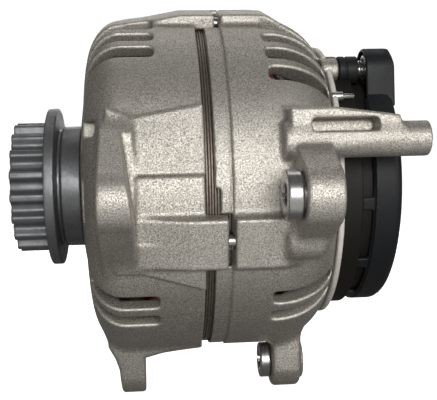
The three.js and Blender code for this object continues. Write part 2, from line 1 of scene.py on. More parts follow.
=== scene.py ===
"""Looks for a compact car alternator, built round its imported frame.

Shapes are worked out in millimetres and made in metres. +X runs along the shaft from the drive end to the
rear, +Z is up and the side ears point along -Y. Angles round the shaft are in degrees, from the side that
faces -Y, upwards.
"""
import json
import math

import bmesh
import bpy
import numpy as np
import openvdb
from mathutils import Matrix, Vector

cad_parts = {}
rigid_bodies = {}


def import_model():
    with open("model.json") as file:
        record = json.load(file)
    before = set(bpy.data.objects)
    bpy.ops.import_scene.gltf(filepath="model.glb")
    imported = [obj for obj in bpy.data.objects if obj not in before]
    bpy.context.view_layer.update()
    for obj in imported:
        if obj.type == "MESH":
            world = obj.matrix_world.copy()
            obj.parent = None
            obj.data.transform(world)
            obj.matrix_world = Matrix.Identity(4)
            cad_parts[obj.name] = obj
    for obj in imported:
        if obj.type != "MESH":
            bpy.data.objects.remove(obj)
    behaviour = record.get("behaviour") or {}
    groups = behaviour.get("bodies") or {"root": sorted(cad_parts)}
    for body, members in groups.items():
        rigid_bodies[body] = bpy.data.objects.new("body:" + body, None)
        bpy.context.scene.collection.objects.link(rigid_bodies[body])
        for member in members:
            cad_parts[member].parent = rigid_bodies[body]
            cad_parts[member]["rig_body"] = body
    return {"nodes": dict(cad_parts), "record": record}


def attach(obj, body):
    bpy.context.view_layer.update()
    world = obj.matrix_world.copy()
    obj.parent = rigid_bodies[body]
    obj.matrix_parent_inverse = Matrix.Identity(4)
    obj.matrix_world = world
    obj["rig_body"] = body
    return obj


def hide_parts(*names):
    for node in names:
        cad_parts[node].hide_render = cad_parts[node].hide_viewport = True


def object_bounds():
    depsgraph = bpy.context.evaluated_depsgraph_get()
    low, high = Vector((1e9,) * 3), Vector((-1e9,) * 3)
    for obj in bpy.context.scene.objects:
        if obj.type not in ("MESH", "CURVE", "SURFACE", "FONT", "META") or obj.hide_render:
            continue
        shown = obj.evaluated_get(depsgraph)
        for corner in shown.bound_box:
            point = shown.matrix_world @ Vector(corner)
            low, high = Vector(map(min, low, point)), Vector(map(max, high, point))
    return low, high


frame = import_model()
cad_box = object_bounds()

MM = 0.001
BODY_R = 70.2  # both castings
STATOR_R = 68.0
CORE_FROM, CORE_TO = 62.0, 94.0
FRONT_X = 28.8
FRONT_RIM_X = 75.7
REAR_RIM_X = 79.3
SEAM_X = 85.3
REAR_FACE_X = 126.9
BOLT_R = 69.0
BOLT_ANGLES = (-18, 72, 162, 252)
PAD_R = 73.6
PAD_HALF = 9.75
PAD_TO = 83.7
BOLT_FROM = 68.0  # blind end of the bolts, in the front casting
BOLT_HEAD_X = 96.4  # where their heads rest on the rear casting
BOLT_HEAD_R = 3.7
HOOD_FOOT = 28.6  # lowest edge of the hood over the terminal
SIDE_EAR = (-85.0, -5.0)
SIDE_EAR_R = 11.2
LOWER_EAR = (0.0, -79.5)
LOWER_EAR_R = 11.5
POST = (-70.0, 14.0)
POST_R = 6.4
POST_TIP = 156.7
TERMINAL = (-32.0, 44.0)
TERMINAL_BOSS_X = 132.8
TERMINAL_FROM = TERMINAL_BOSS_X + 0.3  # where the stud and its bush begin
NEAR_BOLT_LOBE = (-67.0, -20.5)
FLAT_R = 70.9  # planed stretches of the front casting
SLOT_PITCH = 9.0
SLOT_HALF = 3.2
HOLLOW_R = 64.8


# ---- signed-distance fields: negative inside a shape, in millimetres ------------------------------
def slab(value, low, high):
    return np.abs(value - (low + high) / 2) - (high - low) / 2


def disc(a, b, centre, radius):
    return np.hypot(a - centre[0], b - centre[1]) - radius


def unite(first, second, fillet=0.0):
    """Union, with a concave fillet of that radius where the two meet at right angles."""
    if not fillet:
        return np.minimum(first, second)
    corner = np.hypot(np.maximum(fillet - first, 0), np.maximum(fillet - second, 0))
    return np.maximum(fillet, np.minimum(first, second)) - corner


def meet(first, second, edge=0.0):
    """Intersection, with its new edges rounded to that radius."""
    return -unite(-first, -second, edge)


def remove(first, tool, edge=0.0):
    return meet(first, -tool, edge)


def polygon(a, b, corners):
    """Distance to a closed outline of (a, b) corners."""
    inside = np.zeros(a.shape, bool)
    nearest = np.full(a.shape, np.inf, np.float32)
    for (a0, b0), (a1, b1) in zip(corners, corners[1:] + corners[:1]):
        edge_a, edge_b = a1 - a0, b1 - b0
        along = np.clip(((a - a0) * edge_a + (b - b0) * edge_b) / (edge_a**2 + edge_b**2), 0, 1)
        nearest = np.minimum(nearest, (a - a0 - edge_a * along) ** 2 + (b - b0 - edge_b * along) ** 2)
        if edge_b:
            inside ^= ((b0 > b) != (b1 > b)) & (a < a0 + (b - b0) * edge_a / edge_b)
    return np.where(inside, -1, 1) * np.sqrt(nearest)


def arc(centre, radii, start, end, steps):
    """Corners along an arc of an ellipse, in degrees."""
    angles = np.radians(np.linspace(start, end, steps + 1))
    return [(centre[0] + radii[0] * math.cos(t), centre[1] + radii[1] * math.sin(t)) for t in angles]


def direction(angle):
    """Unit vector (y, z) that points outwards at an angle round the shaft."""
    return -math.cos(math.radians(angle)), math.sin(math.radians(angle))


def seen_from(angle, y, z):
    """Distance outwards from the shaft and distance across, at an angle round the shaft."""
    out_y, out_z = direction(angle)
    return y * out_y + z * out_z, y * out_z - z * out_y


def surface(field, low, high, voxel):
    """Points and quads of a field's zero surface, which is sampled finely only near it."""
    block = 4
    step = voxel * block
    low = np.array(low, np.float32) - step
    counts = np.ceil((np.array(high) + step - low) / step).astype(int)
    middles = [low[i] + step * (np.arange(counts[i]) + 0.5) - voxel / 2 for i in range(3)]
    grid = np.meshgrid(*[m.astype(np.float32) for m in middles], indexing="ij")
    coarse = field(*[g.ravel() for g in grid]).reshape(counts)
    spread = coarse[:, None, :, None, :, None]
    blocks = (counts[0], block, counts[1], block, counts[2], block)
    values = np.broadcast_to(spread, blocks).astype(np.float32)
    cells = np.argwhere(np.abs(coarse) < 1.3 * step)
    within = (voxel * np.arange(block)).astype(np.float32)
    corner = low + cells * np.float32(step)
    cube = np.zeros((block, block, block), np.float32)
    x = corner[:, 0, None, None, None] + within[:, None, None] + cube
    y = corner[:, 1, None, None, None] + within[None, :, None] + cube
    z = corner[:, 2, None, None, None] + within[None, None, :] + cube
    fine = field(x.ravel(), y.ravel(), z.ravel()).reshape(x.shape)
    values[cells[:, 0], :, cells[:, 1], :, cells[:, 2], :] = fine
    volume = openvdb.FloatGrid(step)
    volume.copyFromArray(np.ascontiguousarray(values.reshape(counts * block)))
    points, quads = volume.convertToQuads(0.0)
    points = low + points * np.float32(voxel)
    return settle(points, field, voxel), quads


def settle(points, field, reach):
    """Moves points onto the zero surface of a field, along its slope."""
    probe = np.float32(0.04)
    for _ in range(3):
        slope = np.empty_like(points)
        for axis in range(3):
            offset = np.zeros(3, np.float32)
            offset[axis] = probe
            slope[:, axis] = (field(*(points + offset).T) - field(*(points - offset).T)) / (2 * probe)
        size = np.maximum((slope**2).sum(1), 0.25)
        distance = np.clip(field(*points.T), -reach / 2, reach / 2)
        points = points - (distance / size)[:, None] * slope
    return points


# ---- making pieces ------------------------------------------------------------------------------
def mesh_object(name, points, faces):
    mesh = bpy.data.meshes.new(name)
    mesh.from_pydata((np.asarray(points, float) * MM).tolist(), [], [list(map(int, f)) for f in faces])
    mesh.update()
    mesh.polygons.foreach_set("use_smooth", [True] * len(mesh.polygons))
    piece = bpy.data.objects.new(name, mesh)
    bpy.context.scene.collection.objects.link(piece)
    return piece


def sculpted(name, field, low, high, voxel):
    return mesh_object(name, *surface(field, low, high, voxel))


def crisp(piece, limit=35):
    """Welds a piece, turns its faces outwards and keeps edges sharper than the limit sharp."""
    mesh = bmesh.new()
    mesh.from_mesh(piece.data)
    bmesh.ops.remove_doubles(mesh, verts=mesh.verts, dist=1e-6)
    bmesh.ops.dissolve_degenerate(mesh, edges=mesh.edges, dist=1e-6)
    bmesh.ops.recalc_face_normals(mesh, faces=mesh.faces)
    for edge in mesh.edges:
        edge.smooth = len(edge.link_faces) == 2 and edge.calc_face_angle(0) < math.radians(limit)
    mesh.to_mesh(piece.data)
    mesh.free()
    return piece


def softened(outline, amount, steps=3):
    """An outline with its corners rounded off, except those on the axis."""
    result = []
    count = len(outline)
    for i, corner in enumerate(outline):
        here = np.array(corner, float)
        before = np.array(outline[i - 1], float) - here
        after = np.array(outline[(i + 1) % count], float) - here
        if here[1] == 0:
            result.append(tuple(here))
            continue
        start = here + before * min(0.45, amount / max(np.hypot(*before), 1e-6))
        end = here + after * min(0.45, amount / max(np.hypot(*after), 1e-6))
        for t in np.linspace(0, 1, steps + 1):
            result.append(tuple((1 - t) ** 2 * start + 2 * t * (1 - t) * here + t**2 * end))
    return result


def spun(outline, segments, centre=(0, 0), shape=None):
    """Points and quads of a closed (x, radius) outline turned about an axis parallel to the shaft.

    shape(angle, x, radius) gives the radius where the piece isn't round.
    """
    angles = np.linspace(0, 2 * math.pi, segments, endpoint=False)
    points = []
    for x, radius in outline:
        for t in angles:
            r = shape(t, x, radius) if shape else radius
            points.append((x, centre[0] + r * math.cos(t), centre[1] + r * math.sin(t)))
    faces = []
    for i in range(len(outline)):
        row, following = i * segments, (i + 1) % len(outline) * segments
        for j in range(segments):
            k = (j + 1) % segments
            faces.append((row + j, row + k, following + k, following + j))
    return points, faces


def turned(name, outline, segments=96, centre=(0, 0), edge=0.3, shape=None):
    smooth_outline = softened(outline, edge) if edge else outline
    return crisp(mesh_object(name, *spun(smooth_outline, segments, centre, shape)))


def merged(parts):
    """Several (points, faces) as one."""
    points, faces = [], []
    for more_points, more_faces in parts:
        base = len(points)
        points += [tuple(p) for p in more_points]
        faces += [tuple(base + i for i in f) for f in more_faces]
    return points, faces


def tube(path, radius, sides=8, closed=False):
    """Points and faces of a round tube along a path of points."""
    path = [Vector(p) for p in path]
    count = len(path)
    points, faces = [], []
    normal = None
    for i, here in enumerate(path):
        ahead = path[(i + 1) % count] if closed or i + 1 < count else here
        behind = path[i - 1] if closed or i else here
        tangent = (ahead - behind).normalized()
        normal = tangent.orthogonal() if normal is None else normal - tangent * normal.dot(tangent)
        normal.normalize()
        side = tangent.cross(normal)
        for j in range(sides):
            t = 2 * math.pi * j / sides
            points.append(tuple(here + (normal * math.cos(t) + side * math.sin(t)) * radius))
    for i in range(count if closed else count - 1):
        k = (i + 1) % count
        for j in range(sides):
            m = (j + 1) % sides
            faces.append((i * sides + j, i * sides + m, k * sides + m, k * sides + j))
    if not closed:
        faces.append(tuple(range(sides)))
        faces.append(tuple((count - 1) * sides + j for j in reversed(range(sides))))
    return points, faces


def dress(piece, body, slot, material, *nodes):
    piece.data.materials.clear()
    piece.data.materials.append(material)
    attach(piece, body)
    if nodes:
        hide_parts(*nodes)
    return piece


def eased(node, width, material, slot):
    """A copy of a CAD node with its edges bevelled, which stands for it."""
    source = frame["nodes"][node]
    mesh = bmesh.new()
    mesh.from_mesh(source.data)
    bmesh.ops.remove_doubles(mesh, verts=mesh.verts, dist=1e-6)
    bmesh.ops.dissolve_limit(mesh, angle_limit=math.radians(1), verts=mesh.verts, edges=mesh.edges)
    sharp = [e for e in mesh.edges if len(e.link_faces) == 2 and e.calc_face_angle(0) > math.radians(30)]
    bmesh.ops.bevel(mesh, geom=sharp, offset=width * MM, segments=2, affect="EDGES", clamp_overlap=True)
    data = bpy.data.meshes.new(node + "_finish")
    mesh.to_mesh(data)
    mesh.free()
    piece = bpy.data.objects.new(node + "_finish", data)
    bpy.context.scene.collection.objects.link(piece)
    data.polygons.foreach_set("use_smooth", [True] * len(data.polygons))
    crisp(piece, 32)
    return dress(piece, source["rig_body"], slot, material, node)


# ---- materials ----------------------------------------------------------------------------------
class Finish:
    """A node material in the making, on the piece's own coordinates."""

    def __init__(self, name):
        self.material = bpy.data.materials.new(name)
        self.material.use_nodes = True
        self.tree = self.material.node_tree
        self.shader = self.tree.nodes["Principled BSDF"]
        self.place = self.add("ShaderNodeTexCoord").outputs["Object"]

    def add(self, kind, inputs=None, **settings):
        node = self.tree.nodes.new(kind)
        for key, value in settings.items():
            setattr(node, key, value)
        self.fill(node, inputs or {})
        return node

    def fill(self, node, inputs):
        for key, value in inputs.items():
            if isinstance(value, bpy.types.NodeSocket):
                self.tree.links.new(value, node.inputs[key])
            else:
                node.inputs[key].default_value = value

    def noise(self, grain, detail=3.0, roughness=0.6, vector=None):
        """Noise whose grain is a length in millimetres."""
        inputs = {"Vector": vector or self.place, "Scale": 1 / (grain * MM)}
        inputs.update({"Detail": detail, "Roughness": roughness})
        return self.add("ShaderNodeTexNoise", inputs).outputs["Fac"]

    def stretched(self, x, y, z):
        """Coordinates for lines that run along the axes with the small numbers."""
        inputs = {"Vector": self.place, "Scale": (x, y, z)}
        return self.add("ShaderNodeMapping", inputs).outputs["Vector"]

    def span(self, value, low, high, to_low, to_high):
        inputs = {"Value": value, "From Min": low, "From Max": high, "To Min": to_low, "To Max": to_high}
        return self.add("ShaderNodeMapRange", inputs).outputs["Result"]

    def blend(self, factor, first, second, mode="MIX"):
        node = self.add("ShaderNodeMix", data_type="RGBA", blend_type=mode)
        self.fill(node, {0: factor, 6: first, 7: second})
        return node.outputs[2]

    def bump(self, height, distance, strength=1.0, normal=None):
        inputs = {"Height": height, "Distance": distance * MM, "Strength": strength}
        if normal:
            inputs["Normal"] = normal
        return self.add("ShaderNodeBump", inputs).outputs["Normal"]

    def edge_wear_and_hollow_shade(self):
        """Pointiness: 0 in hollows, 1 on sharp edges, about 0.5 on flat stretches; used for bright worn edges
        and for painted shade in the hollows.
        """
        geometry = self.add("ShaderNodeNewGeometry")
        return geometry.outputs["Pointiness"]

    def finish(self, **sockets):
        self.fill(self.shader, {key.replace("_", " "): value for key, value in sockets.items()})
        return self.material


def grey(value, warmth=0.0):
    """A linear colour near grey; warmth moves it from blue to yellow."""
    return (value * (1 + warmth), value * (1 + warmth * 0.25), value * (1 - warmth), 1.0)


def cast_finish(name, tone, warmth, metal):
    """Sand-cast aluminium: gritty skin, cloudy tone, bright worn edges and painted shade darkening the hollows.
    """
    f = Finish(name)
    grit = f.noise(0.5, 2.5, 0.75)
    patches = f.noise(9.0, 4.0)
    clouds = f.noise(38.0, 2.0)
    dark, pale = grey(tone * 0.4, warmth), grey(tone * 1.65, warmth)
    skin = f.blend(f.span(grit, 0.36, 0.64, 0, 1), dark, pale)
    toned = f.blend(f.span(patches, 0.35, 0.65, 0, 0.28), skin, grey(tone * 0.7, warmth * 1.3))
    toned = f.blend(f.span(clouds, 0.4, 0.65, 0, 0.22), toned, grey(tone * 1.15, warmth * 0.6))
    edges = f.edge_wear_and_hollow_shade()
    toned = f.blend(f.span(edges, 0.52, 0.6, 0, 0.5), toned, grey(tone * 1.7, warmth * 0.5))
    # painted shade: hollows and creases darkened where the pointiness is low
    toned = f.blend(f.span(edges, 0.485, 0.42, 0, 0.6), toned, grey(tone * 0.35, warmth * 1.4))
    rough = f.span(grit, 0.3, 0.7, 0.6, 0.42)
    normal = f.bump(grit, 0.2, 0.7, f.bump(patches, 0.5, 0.18))
    return f.finish(Base_Color=toned, Roughness=rough, Normal=normal, Metallic=metal)


def metal_finish(name, tone, warmth, rough, stretch, metal=0.95, lines=0.4):
    """Machined metal with fine tool lines along the stretched direction, and a few scuffs."""
    f = Finish(name)
    tooling = f.noise(0.35, 3.0, 0.6, f.stretched(*stretch))
    smudges = f.noise(6.0, 4.0)
    dark, pale = grey(tone * 0.85, warmth), grey(tone * 1.12, warmth)
    colour = f.blend(f.span(tooling, 0.3, 0.7, 0, 1), dark, pale)
    colour = f.blend(f.span(smudges, 0.45, 0.7, 0, 0.45), colour, grey(tone * 0.6, warmth * 1.4))
    roughness = f.span(smudges, 0.35, 0.7, rough - 0.06, rough + 0.14)
    normal = f.bump(tooling, 0.03, lines)
    return f.finish(Base_Color=colour, Roughness=roughness, Normal=normal, Metallic=metal)


def plastic_finish(name, tone, warmth, rough, grain=0.35):
    """Moulded plastic with a fine texture and faint dust."""
    f = Finish(name)
    texture = f.noise(grain, 2.0)
    dust = f.noise(11.0, 5.0, 0.65)
    dark, pale = grey(tone * 0.8, warmth), grey(tone * 1.2, warmth)
    colour = f.blend(f.span(texture, 0.35, 0.65, 0, 1), dark, pale)
    colour = f.blend(f.span(dust, 0.5, 0.75, 0, 0.25), colour, grey(tone * 2 + 0.006, 0.05))
    roughness = f.span(dust, 0.35, 0.7, rough - 0.06, rough + 0.1)
    normal = f.bump(texture, 0.05, 0.35)
    return f.finish(Base_Color=colour, Roughness=roughness, Normal=normal, Metallic=0.0,
                    Specular_IOR_Level=0.22)


def wire_finish():
    """Red-brown lacquered copper wire."""
    f = Finish("lacquered_copper")
    drips = f.noise(2.2, 4.0)
    colour = f.blend(f.span(drips, 0.35, 0.65, 0, 1), (0.30, 0.045, 0.018, 1), (0.52, 0.13, 0.05, 1))
    return f.finish(Base_Color=colour, Roughness=f.span(drips, 0.3, 0.7, 0.25, 0.45), Metallic=0.5,
                    Normal=f.bump(drips, 0.08, 0.3))


def sheet_finish():
    """Cut edges of lamination steel: dark, streaked along each sheet, with specks of rust."""
    f = Finish("lamination_edges")
    streaks = f.noise(0.5, 4.0, 0.6, f.stretched(3.0, 0.25, 0.25))
    rust = f.noise(3.5, 5.0, 0.7)
    colour = f.blend(f.span(streaks, 0.3, 0.7, 0, 1), (0.075, 0.058, 0.045, 1), (0.27, 0.235, 0.2, 1))
    colour = f.blend(f.span(rust, 0.56, 0.68, 0, 0.6), colour, (0.16, 0.075, 0.035, 1))
    return f.finish(Base_Color=colour, Roughness=f.span(streaks, 0.3, 0.7, 0.5, 0.34), Metallic=0.7,
                    Normal=f.bump(streaks, 0.06, 0.5))


CAST = cast_finish("cast_aluminium", 0.4, 0.09, 0.85)
MACHINED = metal_finish("machined_aluminium", 0.62, 0.03, 0.32, (1.0, 0.15, 0.15))
STEEL = metal_finish("satin_steel", 0.42, 0.03, 0.26, (1.0, 0.12, 0.12))
DARK_STEEL = metal_finish("dark_steel", 0.2, 0.04, 0.4, (0.3, 1.0, 1.0))
COUPLER = metal_finish("phosphated_steel", 0.2, -0.02, 0.45, (1.0, 0.2, 0.2), metal=0.8)
LAMINATION = sheet_finish()
COPPER = wire_finish()
PLASTIC = plastic_finish("black_plastic", 0.011, -0.08, 0.46)
PHENOLIC = plastic_finish("dark_moulding", 0.006, 0.25, 0.55)
CREAM = metal_finish("pale_plate", 0.66, 0.07, 0.5, (1.0, 0.5, 0.5), metal=0.35)
CARBON = plastic_finish("carbon", 0.03, 0.03, 0.7, 0.2)


# ---- castings -----------------------------------------------------------------------------------
def pads(x, y, z, profile, inner=50):
    """The four raised bolt pads, from a profile of (x, distance from the shaft) corners."""
    places, heights = zip(*profile)
    top = np.interp(x, places, heights).astype(np.float32)
    result = None
    for angle in BOLT_ANGLES:
        out, across = seen_from(angle, y, z)
        sides = meet(slab(x, places[0], places[-1]), slab(across, -PAD_HALF, PAD_HALF), 1.0)
        pad = np.maximum(meet(sides, (out - top) * 0.95, 1.2), inner - out)
        result = pad if result is None else np.minimum(result, pad)
    return result


def bolt_rods(y, z, radius):
    """Four round rods on the bolt circle."""
    rods = [disc(y, z, [BOLT_R * c for c in direction(angle)], radius) for angle in BOLT_ANGLES]
    return np.minimum.reduce(rods)


def slots(x, y, z, first_above, first_below, blocked, start, end, depth):
    """Radial cooling slots, counted up from one angle and down from another, left out where blocked."""
    angle = np.degrees(np.arctan2(z, -y))
    phase = np.where(angle > 0, first_above, first_below)
    number = np.round((angle - phase) / SLOT_PITCH)
    middle = phase + number * SLOT_PITCH
    across = np.hypot(y, z) * np.sin(np.radians(angle - middle))
    slot = meet(slab(across, -SLOT_HALF, SLOT_HALF), slab(x, start, end), 2.2)
    slot = np.maximum(slot, depth - np.hypot(y, z))
    for centre, half in blocked:
        away = np.abs((middle - centre + 540) % 360 - 180)
        slot = np.where(away <= half, 8.0, slot)
    return slot


def windows(y, z, count, first, inner, outer, rib):
    """Openings between radial ribs, in a flat wall; angles run from +Y towards +Z."""
    radius = np.hypot(y, z)
    angle = np.degrees(np.arctan2(z, y)) - first
    pitch = 360 / count
    off = (angle + pitch / 2) % pitch - pitch / 2
    edge = radius * np.sin(np.radians(pitch / 2 - np.abs(off)))
    return meet(slab(radius, inner, outer), rib / 2 - edge, 3.0)


def ear_plan(y, z, place, radius, root_half, root_depth):
    """An ear seen along the shaft: a nose round the bore that spreads to its root on the casting."""
    out = math.atan2(place[1], place[0])
    along = (y - place[0]) * math.cos(out) + (z - place[1]) * math.sin(out)
    across = (z - place[1]) * math.cos(out) - (y - place[0]) * math.sin(out)
    nose = arc((0, 0), (radius, radius), 75, -75, 16)
    return polygon(along, across, [(-root_depth, root_half), *nose, (-root_depth, -root_half)])


FRONT_SHOULDER = arc((46, 49), (14.6, BODY_R - 49), 180, 90, 14)
FRONT_OUTLINE = [(FRONT_X, -5), (FRONT_X, 31.4), *FRONT_SHOULDER,
                 (FRONT_RIM_X, BODY_R), (FRONT_RIM_X, -5)]
FRONT_HOLLOW = [(47, -5), (47, 29.6), (35.5, 32), (35.5, 50), (44, HOLLOW_R), (90, HOLLOW_R), (90, -5)]
FRONT_BLOCKED = ((3, 41), (72, 8), (162, 10), (252, 10), (270, 36))
FRONT_PADS = [(47, 69.4), (52, 70.4), (70, PAD_R), (PAD_TO, PAD_R)]


def front_casting(x, y, z):
    radius = np.hypot(y, z)
    body = meet(polygon(x, radius, FRONT_OUTLINE), x - FRONT_RIM_X, 0.5)
    body = unite(body, pads(x, y, z, FRONT_PADS), 2.0)

    # A planed flat beside the side ear, with a slanting upper edge.
    out, across = seen_from(12, y, z)
    upper = 9.1 + np.where(x < 50.1, (50.1 - x) * 0.45, (x - 50.1) * 0.186)
    flat = meet(slab(x, 41, FRONT_RIM_X), out - FLAT_R, 0.6)
    flat = meet(flat, np.maximum(across - upper, -12 - across), 0.5)
    body = unite(body, np.maximum(flat, 50 - out), 1.2)

    # A skirt that falls away from the pad towards the lower slots.
    out, across = seen_from(-25, y, z)
    lower = -3.0 - np.clip(x - 52, 0, 30) * 0.34
    skirt = meet(slab(x, 43, FRONT_RIM_X), out - FLAT_R, 0.6)
    skirt = meet(skirt, np.maximum(lower - across, across - 9), 0.5)
    body = unite(body, np.maximum(skirt, 50 - out), 0.8)

    rib_side = [(60, 66), (60, 70), (74, 75.2), (93, 75.2), (93, 72.8), (74.5, 72.8), (74.5, 66)]
    rib = meet(polygon(x, z, rib_side), slab(y, -3, 9), 0.8)
    body = unite(body, rib, 1.5)

    trough = meet(disc(y, z, (-80.5, -4), 9.6), 51.5 - x, 3.0)
    body = remove(body, trough, 0.6)

    ear = meet(ear_plan(y, z, SIDE_EAR, SIDE_EAR_R, 29, 24), slab(x, 38.5, 50.5), 1.2)
    body = unite(body, ear, 2.6)
    hollow_side = [(45.9, 21.5), (47, 24.3), (50, 25), (52.4, 24), (52.4, -12), (50.3, -12)]
    body = remove(body, meet(polygon(x, z, hollow_side), y + 71.8, 0.8), 0.8)

    foot_plan = polygon(y, z, [(-18, -56), *arc(LOWER_EAR, (LOWER_EAR_R, LOWER_EAR_R), 190, 350, 18), (18, -56)])
    foot_side = polygon(x, z, [(36.8, -50), (36.8, -68.5), (39.6, -74), (41.1, -79), (42.1, -91.5),
                               (52.2, -91.5), (52.2, -74), (60, -72), (76, -70), (76, -50)])
    body = unite(body, meet(foot_plan, foot_side, 1.4), 2.5)

    # Inside and through it.
    body = remove(body, polygon(x, radius, FRONT_HOLLOW), 0.6)
    body = remove(body, np.maximum(radius - STATOR_R - 0.3, CORE_FROM - 0.3 - x), 0.3)
    body = remove(body, np.maximum(radius - 23.6, slab(x, 31.3, 50)), 0.4)
    body = remove(body, np.maximum(radius - 13.5, x - 40), 0.5)
    body = remove(body, np.maximum(windows(y, z, 8, 10, 34, 48.2, 9), x - 38), 0.9)
    body = remove(body, slots(x, y, z, 45.5, -39.5, FRONT_BLOCKED, 20, 58.8, 54), 0.9)
    body = remove(body, np.maximum(bolt_rods(y, z, 2.9), BOLT_FROM - 2 - x), 0.5)
    bores = np.minimum(disc(y, z, SIDE_EAR, 4.3), disc(y, z, LOWER_EAR, 4.3))
    body = remove(body, bores, 0.5)
    key_hole = meet(meet(slab(x, 31.4, 37.2), slab(z, 17.6, 24), 1.6), y + 48, 0.8)
    return remove(body, key_hole, 0.6)


REAR_SHOULDER = arc((103.5, 45), (26, BODY_R - 45), 90, 24, 12)
REAR_OUTLINE = [(REAR_RIM_X, -5), (REAR_RIM_X, 69.6), (SEAM_X, 69.6), (SEAM_X, BODY_R), *REAR_SHOULDER,
                (REAR_FACE_X, 55.2), (REAR_FACE_X, -5)]
REAR_HOLLOW = [(70, -5), (70, HOLLOW_R), (105, HOLLOW_R), (117, 58), (122.2, 46), (122.2, 26),
               (113.5, 26), (113.5, -5)]
REAR_BLOCKED = ((-2, 36), (72, 8.5), (162, 10), (252, 10), (270, 36))
REAR_PADS = [(86.2, PAD_R), (99, PAD_R), (104.5, 73.2), (108, 71.2), (112, 67.5)]


def rear_casting(x, y, z):
    radius = np.hypot(y, z)
    body = meet(polygon(x, radius, REAR_OUTLINE), REAR_RIM_X - x, 0.4)
    seam = meet(slab(x, SEAM_X - 0.45, SEAM_X + 0.45), 69.2 - radius)
    body = remove(body, seam, 0.2)
    window_end = np.maximum(meet(slab(x, 78, 81.3), slab(z, -11, -2.2), 1.0), y + 60)
    body = remove(body, window_end, 0.4)
    tunnels = None
    for angle in BOLT_ANGLES:
        out, across = seen_from(angle, y, z)
        tunnel = meet(slab(across, -PAD_HALF - 0.5, PAD_HALF + 0.5), x - 85.9, 1.2)
        tunnel = np.maximum(tunnel, 64 - out)
        tunnels = tunnel if tunnels is None else np.minimum(tunnels, tunnel)
    body = remove(body, tunnels, 0.5)
    body = unite(body, pads(x, y, z, REAR_PADS), 2.5)
    body = remove(body, meet(disc(y, z, (-80.5, -5), 9.6), x - 101, 2.5), 0.8)

    ear = meet(ear_plan(y, z, SIDE_EAR, SIDE_EAR_R, 24, 24), slab(x, 107.5, 120.4), 1.4)
    body = unite(body, ear, 3.2)
    lower = meet(ear_plan(y, z, LOWER_EAR, LOWER_EAR_R, 14, 22), slab(x, 107, 119.4), 2.0)
    lower = unite(lower, meet(disc(y, z, LOWER_EAR, 8.4), slab(x, 115, 121), 0.8), 0.6)
    body = unite(body, lower, 3.5)
    lobe = meet(disc(y, z, NEAR_BOLT_LOBE, 8.2), slab(x, 104.2, 119), 3.5)
    body = unite(body, lobe, 2.5)

    post = meet(disc(y, z, POST, POST_R), slab(x, 104, POST_TIP), 0.6)
    web_side = [(106, POST[1] - 4), (106, 25.6), (122, 25.6), (145.4, 22.5), (148, POST[1]),
                (118, POST[1] - 4)]
    web = meet(polygon(x, z, web_side), slab(y, -75.2, -63.8), 1.2)
    body = unite(body, unite(post, web, 2.0), 2.0)
    pocket = meet(meet(slab(x, 113.6, 137.8), slab(z, 16.9, 21.7), 1.8), y + 66.8, 0.8)
    body = remove(body, pocket, 0.6)
    boss = meet(disc(y, z, TERMINAL, 4.8), slab(x, 112, TERMINAL_BOSS_X), 0.5)
    body = unite(body, boss, 1.2)

    # Inside and through it.
    body = remove(body, polygon(x, radius, REAR_HOLLOW), 0.6)
    body = remove(body, np.maximum(radius - STATOR_R - 0.3, x - CORE_TO - 0.3), 0.3)
    body = remove(body, np.maximum(radius - 19.8, x - 125.9), 0.4)
    body = remove(body, radius - 12, 0.5)
    from_terminal = np.abs((np.degrees(np.arctan2(z, -y)) - 115 + 540) % 360 - 180)
    inlets = np.where(from_terminal < 22.5, 8.0, windows(y, z, 8, 20, 31, 46, 8))
    body = remove(body, np.maximum(inlets, 116 - x), 0.8)
    body = remove(body, slots(x, y, z, 35, -39.3, REAR_BLOCKED, 101.3, 126, 50), 0.9)
    body = remove(body, np.maximum(bolt_rods(y, z, 2.9), x - BOLT_HEAD_X))
    body = remove(body, np.maximum(bolt_rods(y, z, BOLT_HEAD_R + 0.1), BOLT_HEAD_X - x), 0.4)
    body = remove(body, np.minimum(disc(y, z, SIDE_EAR, 7.15), disc(y, z, LOWER_EAR, 6.15)), 0.4)
    return remove(body, np.maximum(disc(y, z, POST, 4.0), 140 - x), 0.4)


def castings():
    front = sculpted("front_casting", front_casting, (28, -98, -93), (85, 76, 77), 0.75)
    dress(front, "housing", "cast_aluminium", CAST, "front_housing")
    rear = sculpted("rear_casting", rear_casting, (78, -98, -93), (158, 76, 76), 0.75)
    dress(rear, "housing", "cast_aluminium", CAST, "rear_housing")


# ---- stator -------------------------------------------------------------------------------------
SHEETS = 32
STATOR_SLOTS = 24
GROOVE_R = 3.2  # room for each bolt in the sheets


def sheet_outline():
    """Outer and inner radius of a lamination at each of its angles, with slots and bolt grooves."""
    rows = []
    for angle in np.radians(np.arange(0, 360, 1.0)):
        outer = STATOR_R
        for bolt in BOLT_ANGLES:
            bolt_y, bolt_z = direction(bolt)
            off = angle - math.atan2(bolt_z, bolt_y)
            off = abs((off + math.pi) % (2 * math.pi) - math.pi)
            across = BOLT_R * math.sin(off)
            if across < GROOVE_R and off < 1:
                outer = min(outer, BOLT_R * math.cos(off) - math.sqrt(GROOVE_R**2 - across**2))
        slot_pitch = 2 * math.pi / STATOR_SLOTS
        in_slot = abs((angle + slot_pitch / 2) % slot_pitch - slot_pitch / 2) < math.radians(2.3)
        rows.append((angle, outer, 60.0 if in_slot else 52.0))
    return rows


